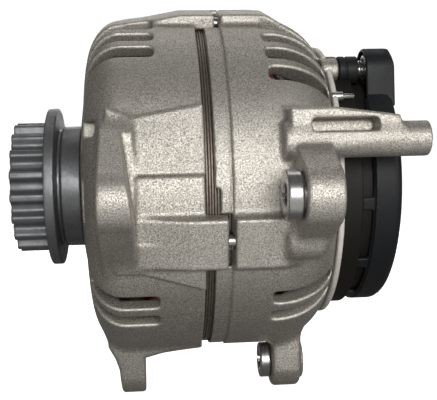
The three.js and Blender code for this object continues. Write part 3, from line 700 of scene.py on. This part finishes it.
def laminations():
    rows = sheet_outline()
    count = len(rows)
    pitch = (CORE_TO - CORE_FROM) / SHEETS
    parts = []
    for sheet in range(SHEETS):
        wobble = 0.12 * math.sin(2.4 * sheet) + (0.1 if sheet % 4 == 0 else 0)
        x0 = CORE_FROM + pitch * sheet + 0.07
        x1 = x0 + pitch - 0.16
        points = []
        outside = [(x0, 1, 0.12), (x0 + 0.12, 1, 0), (x1 - 0.12, 1, 0), (x1, 1, 0.12)]
        section = outside + [(x1, 2, 0), (x0, 2, 0)]
        for x, which, trim in section:
            for row in rows:
                radius = row[which] - (trim + 0.12 + wobble if which == 1 else 0)
                points.append((x, radius * math.cos(row[0]), radius * math.sin(row[0])))
        faces = []
        for i in range(6):
            for j in range(count):
                k = (j + 1) % count
                m = (i + 1) % 6
                faces.append((i * count + j, i * count + k, m * count + k, m * count + j))
        parts.append((points, faces))
    piece = crisp(mesh_object("stator_laminations", *merged(parts)), 50)
    dress(piece, "housing", "lamination_steel", LAMINATION, "stator_core")


def winding_turn(start, side, x_root, x_tip):
    """One bundle of wire that leaves a slot, arches over its neighbours and goes back into another."""
    points = []
    for t in np.linspace(0, 1, 15):
        angle = start + side * math.radians(45) * t
        rise = math.sin(math.pi * t) ** 0.55
        radius = 57.6 + 3.2 * math.cos(math.pi * t) * side
        x = x_root + (x_tip - x_root) * rise
        points.append((x, radius * math.cos(angle), radius * math.sin(angle)))
    return points


def windings():
    parts = []
    for x_root, x_tip in ((CORE_FROM + 1, 50.2), (CORE_TO - 1, 105.8)):
        for slot in range(STATOR_SLOTS):
            start = 2 * math.pi * slot / STATOR_SLOTS
            for strand in range(3):
                shift = start + math.radians(1.6 * (strand - 1))
                tip = x_tip - 0.9 * strand * (x_tip - x_root) / abs(x_tip - x_root)
                parts.append(tube(winding_turn(shift, 1 if slot % 2 else -1, x_root, tip), 0.95, 7))
    for slot in range(STATOR_SLOTS):
        angle = 2 * math.pi * slot / STATOR_SLOTS
        for depth in (54.6, 57.0, 59.2):
            y, z = depth * math.cos(angle), depth * math.sin(angle)
            parts.append(tube([(CORE_FROM - 3, y, z), (CORE_TO + 3, y, z)], 1.1, 7))
    piece = mesh_object("stator_windings", *merged(parts))
    dress(crisp(piece, 60), "housing", "copper", COPPER, "stator_winding")


# ---- fasteners and small turned pieces ------------------------------------------------------------
def thread(start, end, radius, pitch=1.0):
    """Outline corners of a thread's ridges along a rod."""
    corners = []
    root = radius - 0.35 * pitch
    for i in range(int((end - start) / pitch)):
        x = start + pitch * i
        corners += [(x + 0.15 * pitch, root), (x + 0.5 * pitch, radius), (x + 0.85 * pitch, root)]
    return corners


def hexagon(across_flats):
    """Shape of a hexagon whose corners are cut by the outline's own chamfer."""
    def shape(angle, x, radius):
        flat = across_flats / 2 / math.cos((angle + math.pi / 6) % (math.pi / 3) - math.pi / 6)
        return min(radius, flat)
    return shape


def through_bolts():
    """Bolts that start blind in the front casting, with socket heads sunk in the rear one."""
    head_to = BOLT_HEAD_X + 4.6

    def socket(angle, x, radius):
        in_recess = x > BOLT_HEAD_X + 1 and radius < 2.7
        return radius * (1 + 0.1 * math.cos(6 * angle)) if in_recess else radius

    for i, angle in enumerate(BOLT_ANGLES):
        centre = [BOLT_R * c for c in direction(angle)]
        outline = [(BOLT_FROM, 0), (BOLT_FROM, 1.9), *thread(BOLT_FROM + 0.6, 79, 2.4), (80, 2.4),
                   (BOLT_HEAD_X, 2.4), (BOLT_HEAD_X, BOLT_HEAD_R), (head_to - 0.6, BOLT_HEAD_R),
                   (head_to, BOLT_HEAD_R - 0.6),
                   (head_to, 2.4), (head_to - 0.3, 2.1), (head_to - 2.6, 2.0), (head_to - 2.6, 0)]
        bolt = turned(f"bolt_{i + 1}", outline, 36, centre, 0, socket)
        dress(bolt, "housing", "steel", STEEL, f"through_bolt_{i + 1}")


CAP_NUT_ANGLES = (15, 215)


def cap_nuts():
    """Nuts on long studs, which hold the rear cover."""
    for i, angle in enumerate(CAP_NUT_ANGLES):
        centre = [30 * c for c in direction(angle)]
        outline = [(136.6, 0), (136.6, 2.4), (149, 2.4), (153.9, 2.2), (153.9, 5.2), (154.2, 5.4),
                   (155.4, 5.4), (156.4, 4.3), (156.4, 2.3), (156.95, 1.9), (156.95, 0)]
        nut = turned(f"cap_nut_{i + 1}", outline, 48, centre, 0.1, hexagon(8))
        dress(nut, "housing", "steel", STEEL, f"rear_cap_nut_{i + 1}")


def terminal():
    start = TERMINAL_FROM
    stud = [(start, 0), (start, 3.8), (138, 3.8), *thread(138.5, 151.6, 3.8), (152.6, 3.0), (152.6, 0)]
    stud = turned("terminal_stud", stud, 48, TERMINAL, 0)
    dress(stud, "housing", "steel", STEEL, "b_plus_stud")
    nut = [(143.6, 4.1), (143.6, 5.8), (144.4, 7), (148.8, 7), (149.6, 5.8), (149.6, 4.1)]
    nut = turned("terminal_nut", nut, 60, TERMINAL, 0.15, hexagon(11))
    dress(nut, "housing", "steel", STEEL, "b_plus_nut")
    bush = [(start, 4.2), (start, 5.6), (135.4, 5.6), (135.6, 5.2), (136.2, 5.2), (136.4, 5.6), (140.6, 5.6),
            (140.6, 4.2)]
    bush = turned("terminal_bush", bush, 60, TERMINAL, 0.3)
    dress(bush, "housing", "black_plastic", PLASTIC, "b_plus_insulator")


def diode_peg():
    """A pin of the rectifier that shows below the terminal. It stands for no CAD node."""
    outline = [(127.2, 0), (127.2, 1.85), (131.6, 1.85), (132, 1.1), (136, 1.0), (136, 0)]
    dress(turned("diode_peg", outline, 32, (-46.5, 32.0), 0.2), "housing", "steel", STEEL)


def sleeve(name, node, place, start, collar_to, end, collar, outer, bore):
    """A pressed steel sleeve with a collar, slit along its length."""
    def field(x, y, z):
        solid = unite(meet(disc(y, z, place, outer), slab(x, start + 1, end), 0.4),
                      meet(disc(y, z, place, collar), slab(x, start, collar_to), 0.7), 0.3)
        solid = remove(solid, disc(y, z, place, bore), 0.5)
        slit = np.maximum(slab(z, place[1] - 0.55, place[1] + 0.55), place[0] - y)
        return remove(solid, slit, 0.2)
    low = (start - 1, place[0] - collar - 1, place[1] - collar - 1)
    high = (end + 1, place[0] + collar + 1, place[1] + collar + 1)
    dress(sculpted(name, field, low, high, 0.32), "housing", "steel", STEEL, node)


# ---- overrunning coupler --------------------------------------------------------------------------
TEETH = 18


def coupler_field(x, y, z):
    radius = np.hypot(y, z)
    angle = np.degrees(np.arctan2(z, -y))
    pitch = 360 / TEETH
    off = (angle - 10.5 + pitch / 2) % pitch - pitch / 2
    across = np.abs(radius * np.sin(np.radians(off)))
    flank = (across - 2.62 + (radius - 24.4) * 0.36) * 0.94
    tooth = meet(meet(flank, radius - 27.6, 0.7), slab(x, 0, 15), 0.5)
    drum = meet(radius - 24.2, slab(x, 0, 15), 0.4)
    body = unite(drum, np.maximum(tooth, 20 - radius), 0.9)
    flange = meet(radius - 33.6, slab(x, 14.1, 18.4), 0.6)
    hub = meet(radius - 25.8, slab(x, 20, 28.1), 0.5)
    neck = np.maximum(radius - 24, slab(x, 14, 24))
    body = unite(unite(body, flange, 0.5), unite(neck, hub, 0.3), 0.3)
    return remove(body, radius - 18.6, 0.5)


def coupler():
    ring = sculpted("coupler_toothed_ring", coupler_field, (0, -34, -34), (28.2, 34, 34), 0.5)
    dress(ring, "coupler", "coupler_steel", COUPLER, "coupler_outer_ring")
    cap = [(0.4, 0), (0.4, 4), (0, 5), (0, 14), (0.5, 15), (0, 16), (0, 18.2), (3.6, 18.2), (3.6, 15.6),
           (1.8, 15.6), (1.8, 0)]
    cap = turned("coupler_cap", cap, 96, edge=0.4)
    dress(cap, "coupler", "black_plastic", PLASTIC, "coupler_end_cap")
    hub = [(4, 8.8), (4, 13), (24.4, 13), (24.4, 15.4), (28.1, 15.4), (28.1, 8.8)]
    dress(turned("coupler_hub", hub, 96, edge=0.4), "rotor", "steel", STEEL, "coupler_inner_hub")
    middle = 15.8  # radius of the circle that the rollers stand on
    cage = [(6.4, middle - 1), (6.4, middle + 1), (24, middle + 1), (24, middle - 1)]
    parts = [spun(softened(cage, 0.3), 72)]
    for i in range(8):
        centre = [middle * c for c in direction(45 * i)]
        parts.append(spun(softened([(8, 0), (8, 2.3), (22.4, 2.3), (22.4, 0)], 0.3), 24, centre))
    rollers = crisp(mesh_object("clutch_rollers", *merged(parts)))
    dress(rollers, "clutch_rollers", "steel", STEEL, "clutch_roller_cage")


# ---- rectifier, rear cap and terminal hood ----------------------------------------------------------
CAP_FROM = 142.5
CAP_TO = 153.6
FRAME_FROM, FRAME_TO = 129.5, 137.2


def spokes(y, z, count, first, half_width):
    """Distance to the nearest of several radial bands."""
    angle = np.degrees(np.arctan2(z, -y))
    pitch = 360 / count
    off = (angle - first + pitch / 2) % pitch - pitch / 2
    return np.abs(np.hypot(y, z) * np.sin(np.radians(off))) - half_width


def cap_field(x, y, z):
    radius = np.hypot(y, z)
    outline = [(FRAME_TO + 0.3, 50.4), (FRAME_TO + 0.3, 52), (CAP_FROM, 52), (CAP_FROM, 53), (150, 53),
               *arc((149.6, 49), (4, 4), 80, 10, 6), (CAP_TO, 49), (CAP_TO, 16), (151.6, 16), (151.6, 48),
               (148, 50.4)]
    shell = polygon(x, radius, outline)
    vents = meet(meet(spokes(y, z, 12, 4, 11), slab(x, FRAME_TO - 2, 141.8), 1.0), 46 - radius)
    shell = remove(shell, vents, 0.3)
    face_vents = meet(meet(spokes(y, z, 10, 9, 2), slab(radius, 24, 44), 1.8), 148 - x)
    shell = remove(shell, face_vents, 0.4)
    shell = np.minimum(shell, meet(slab(radius, 16, 19), slab(x, 151.6, CAP_TO)))
    hood_room = meet(slab(y, TERMINAL[0] - 8.9, TERMINAL[0] + 8.9), HOOD_FOOT - 0.3 - z, 0.5)
    shell = remove(shell, np.maximum(hood_room, CAP_FROM - 6 - x), 0.3)
    plug_room = meet(meet(slab(z, -15.3, 15.3), 30 - y), x - CAP_TO + 5, 0.5)
    shell = remove(shell, plug_room, 0.3)
    for angle in CAP_NUT_ANGLES:
        shell = remove(shell, disc(y, z, [30 * c for c in direction(angle)], 2.8), 0.2)
    return shell


def hood_plan(y, z, radius, foot):
    """The hood seen along the shaft: round above the terminal, straight down to its foot."""
    sides = slab(y, TERMINAL[0] - radius, TERMINAL[0] + radius)
    arch = unite(disc(y, z, TERMINAL, radius), np.maximum(sides, z - TERMINAL[1]))
    return np.maximum(arch, foot - z)


def hood_field(x, y, z):
    radius = np.hypot(y, z)
    shell = meet(hood_plan(y, z, 8.6, HOOD_FOOT), slab(x, CAP_FROM + 0.4, 154.6), 0.9)
    envelope = [(140, 0), (140, 63.2), (151.5, 63.2), (153.8, 62), (154.8, 60), (154.8, 0)]
    shell = meet(shell, polygon(x, radius, envelope), 0.8)
    room = np.maximum(hood_plan(y, z, 7.2, HOOD_FOOT + 1.6), x - 153.2)
    return remove(shell, room, 0.3)


def frame_field(x, y, z):
    radius = np.hypot(y, z)
    length = slab(x, FRAME_FROM, FRAME_TO)
    wall = meet(slab(radius, 51.4, 54), length, 0.4)
    ribs = np.maximum(np.maximum(spokes(y, z, 9, 8, 1), slab(radius, 49.8, 52)), length)
    inner_wall = meet(slab(radius, 49.4, 50.2), slab(x, FRAME_TO - 2, 143.4), 0.2)
    tabs = meet(slab(radius, 49.4, 52), slab(x, FRAME_TO - 2, FRAME_TO - 0.4))
    body = np.minimum(np.minimum(wall, ribs), np.minimum(inner_wall, tabs))
    body = remove(body, disc(y, z, TERMINAL, 6.1), 0.2)
    return remove(body, np.maximum(np.maximum(slab(z, -16, 16), 20 - y), 130.7 - x), 0.2)


def negative_plate_field(x, y, z):
    radius = np.hypot(y, z)
    body = meet(slab(radius, 24, 58), slab(x, 127.2, 129.2), 0.5)
    body = remove(body, disc(y, z, TERMINAL, 5.9), 0.3)
    return remove(body, np.maximum(12 - y, np.abs(z) - 17), 0.3)


def rear_end():
    cover = sculpted("rear_cover", cap_field, (136, -54, -54), (155, 54, 54), 0.6)
    dress(cover, "housing", "black_plastic", PLASTIC, "rear_cap")
    hood_low = (141, TERMINAL[0] - 10, 27)
    hood_high = (156, TERMINAL[0] + 10, 64)
    hood = sculpted("terminal_cover", hood_field, hood_low, hood_high, 0.4)
    dress(hood, "housing", "black_plastic", PLASTIC, "b_plus_hood")
    holder = sculpted("rectifier_holder", frame_field, (128, -55, -55), (143, 55, 55), 0.6)
    dress(holder, "housing", "phenolic", PHENOLIC, "rectifier_frame")
    plate = sculpted("rectifier_heat_sink", negative_plate_field, (126, -60, -60), (131, 60, 60), 0.6)
    dress(plate, "housing", "pale_plate", CREAM, "rectifier_negative_plate")


# ---- pieces that keep their CAD shape ---------------------------------------------------------------
EASED = {
    "rectifier_positive_plate": (0.25, MACHINED, "machined_aluminium"),
    "regulator_body": (0.5, PLASTIC, "black_plastic"),
    "bearing_retainer_plate": (0.2, DARK_STEEL, "steel"),
    "claw_pole_front": (0.8, DARK_STEEL, "lamination_steel"),
    "claw_pole_rear": (0.8, DARK_STEEL, "lamination_steel"),
    "front_fan": (0.2, DARK_STEEL, "steel"),
    "rear_fan": (0.2, DARK_STEEL, "steel"),
    "brush_a": (0.25, CARBON, "carbon"),
    "brush_b": (0.25, CARBON, "carbon"),
}
SLOT_FINISH = {
    "cast_aluminium": CAST, "machined_aluminium": MACHINED, "steel": STEEL, "coupler_steel": COUPLER,
    "lamination_steel": LAMINATION, "copper": COPPER, "black_plastic": PLASTIC, "phenolic": PHENOLIC,
    "pale_plate": CREAM, "carbon": CARBON,
}


def cad_shapes():
    """Bevelled copies of some CAD nodes, and a finish on every node that is still showing."""
    for node, (width, material, slot) in EASED.items():
        eased(node, width, material, slot)
    slot_of = {part["node"]: part["material_slot"] for part in frame["record"]["subparts"]}
    for name, node in frame["nodes"].items():
        if not node.hide_render:
            node.data.materials.clear()
            node.data.materials.append(SLOT_FINISH.get(slot_of.get(name), STEEL))


# ---- studio -------------------------------------------------------------------------------------
def plain(name, colour, strength=0.0):
    material = bpy.data.materials.new(name)
    material.use_nodes = True
    shader = material.node_tree.nodes["Principled BSDF"]
    shader.inputs["Base Color"].default_value = colour
    shader.inputs["Roughness"].default_value = 0.8
    shader.inputs["Emission Color"].default_value = colour
    shader.inputs["Emission Strength"].default_value = strength
    return material


def studio():
    """A white floor and a white backdrop that only the camera sees, in dim air."""
    floor_z = cad_box[0][2] - 0.0004
    bpy.ops.mesh.primitive_circle_add(vertices=64, radius=12, fill_type="NGON", location=(0, 0, floor_z))
    floor = bpy.context.object
    floor.name = "studio_floor"
    floor.data.materials.append(plain("floor_paper", (0.9, 0.9, 0.9, 1), 1.15))
    floor.visible_diffuse = False
    floor.visible_glossy = False
    bpy.ops.mesh.primitive_uv_sphere_add(segments=48, ring_count=24, radius=14, location=(0, 0, 0))
    dome = bpy.context.object
    dome.name = "studio_backdrop"
    dome.data.materials.append(plain("backdrop", (1, 1, 1, 1), 1.0))
    dome.visible_diffuse = False
    dome.visible_glossy = False
    dome.visible_shadow = False
    dome.visible_transmission = False
    world = bpy.data.worlds.new("studio_air")
    world.use_nodes = True
    world.node_tree.nodes["Background"].inputs["Color"].default_value = (1.0, 0.98, 0.95, 1)
    world.node_tree.nodes["Background"].inputs["Strength"].default_value = 0.13
    bpy.context.scene.world = world


def light(name, place, aim, size, power, colour=(1, 1, 1)):
    lamp = bpy.data.lights.new(name, "AREA")
    lamp.shape = "RECTANGLE"
    lamp.size, lamp.size_y = size
    lamp.energy = power
    lamp.color = colour
    item = bpy.data.objects.new(name, lamp)
    bpy.context.scene.collection.objects.link(item)
    item.location = place
    item.rotation_euler = (Vector(aim) - Vector(place)).to_track_quat("-Z", "Y").to_euler()


def camera():
    lens = bpy.data.cameras.new("camera")
    item = bpy.data.objects.new("camera", lens)
    bpy.context.scene.collection.objects.link(item)
    yaw, pitch, roll = (math.radians(a) for a in (4.9, -1.28, -1.52))
    ahead = Vector((math.sin(yaw), math.cos(yaw), 0))
    right = Vector((math.cos(yaw), -math.sin(yaw), 0))
    up = Vector((0, 0, 1))
    forward = ahead * math.cos(pitch) + up * math.sin(pitch)
    upward = up * math.cos(pitch) - ahead * math.sin(pitch)
    right_rolled = right * math.cos(roll) + upward * math.sin(roll)
    up_rolled = upward * math.cos(roll) - right * math.sin(roll)
    turn = Matrix((right_rolled, up_rolled, -forward)).transposed().to_4x4()
    item.matrix_world = Matrix.Translation((0.056, -0.3524, 0)) @ turn
    lens.sensor_width = 36
    lens.sensor_fit = "HORIZONTAL"
    focal_in_image_widths = 800 / 437
    lens.lens = 36 * focal_in_image_widths
    lens.clip_start = 0.01
    lens.clip_end = 60
    bpy.context.scene.camera = item


castings()
laminations()
windings()
through_bolts()
cap_nuts()
terminal()
diode_peg()
sleeve("side_ear_sleeve", "side_ear_bushing", SIDE_EAR, 101.5, 106.7, 119.6, 8.75, 6.9, 4.0)
sleeve("lower_ear_sleeve", "lower_ear_bushing", LOWER_EAR, 102.3, 106.7, 118.6, 7.6, 5.9, 3.9)
coupler()
rear_end()
cad_shapes()
studio()
light("key", (0.17, -0.95, 0.15), (0.08, 0, 0.01), (0.55, 0.42), 6.5)
light("fill", (-0.85, -0.7, -0.05), (0.05, 0, 0), (0.4, 0.8), 1.5)
light("bounce", (0.08, -0.25, -0.086), (0.08, -0.2, 0.5), (0.4, 0.28), 0.17)
light("rear_fill", (0.75, -0.55, 0.1), (0.12, 0, 0), (0.3, 0.6), 1.8)
light("top", (0.1, 0.45, 1.1), (0.08, 0, 0), (1.0, 0.5), 2.0)
light("behind", (0.1, 1.1, 0.4), (0.08, 0, 0), (0.8, 0.6), 4)
camera()
bpy.context.scene.view_settings.view_transform = "Standard"
